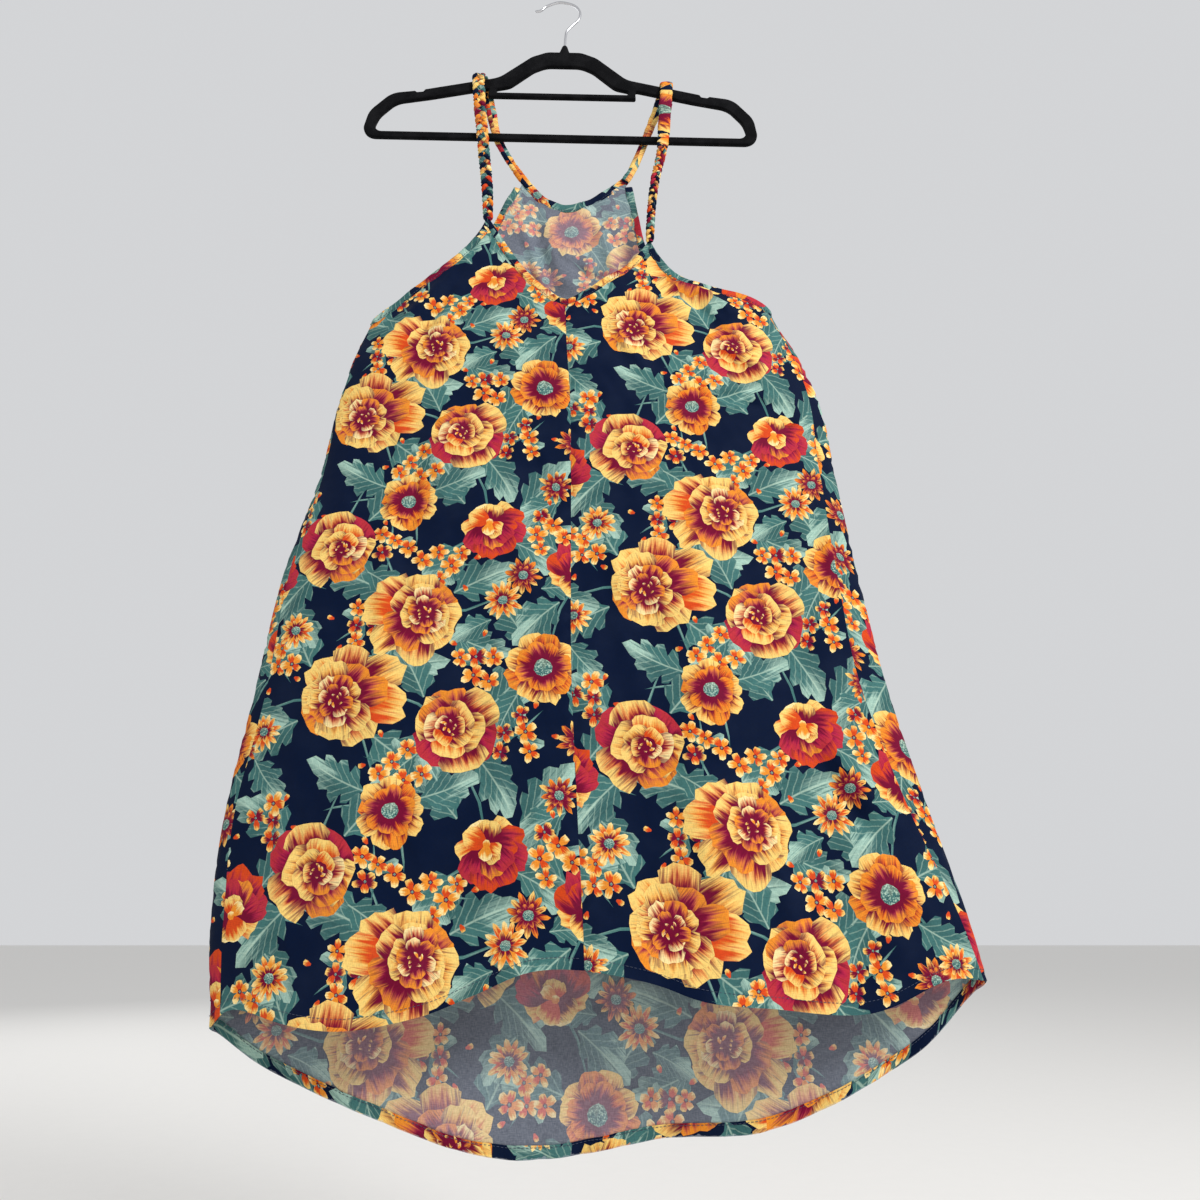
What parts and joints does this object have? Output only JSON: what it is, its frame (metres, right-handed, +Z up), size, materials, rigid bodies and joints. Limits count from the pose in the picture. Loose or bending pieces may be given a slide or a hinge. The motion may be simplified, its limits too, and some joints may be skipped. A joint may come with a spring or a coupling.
{
  "type": "sundress on hanger",
  "caption": "Sleeveless A-line sundress in floral print with V neck, braided straps and high-low hem, hanging on a slim flocked hanger with a wire hook.",
  "frame": {"origin": "inside of the crown of the hanger's wire hook, where a rail, nail or finger holds it", "axes": "+Z up along the hanging dress, -Y out of its front, +X to the viewer's right when facing the front"},
  "size_m": [0.628, 0.0793, 1.221],
  "materials": {
    "printed_rayon": "soft matt woven viscose with a slight sheen, printed with large orange and yellow flowers and grey-green leaves on navy",
    "hanger_flock": "black velvet flocking on moulded plastic",
    "hook_steel": "bright plated steel wire"
  },
  "bodies": {
    "root": {"front_left": "printed_rayon", "front_right": "printed_rayon", "back": "printed_rayon", "neck_binding": "printed_rayon", "back_neck_band": "printed_rayon", "armhole_binding_left": "printed_rayon", "armhole_binding_right": "printed_rayon", "strap_braid_left": "printed_rayon", "strap_braid_right": "printed_rayon", "strap_tube_left": "printed_rayon", "strap_tube_right": "printed_rayon", "hanger": "hanger_flock", "hanger_hook": "hook_steel"}
  },
  "joints": []
}
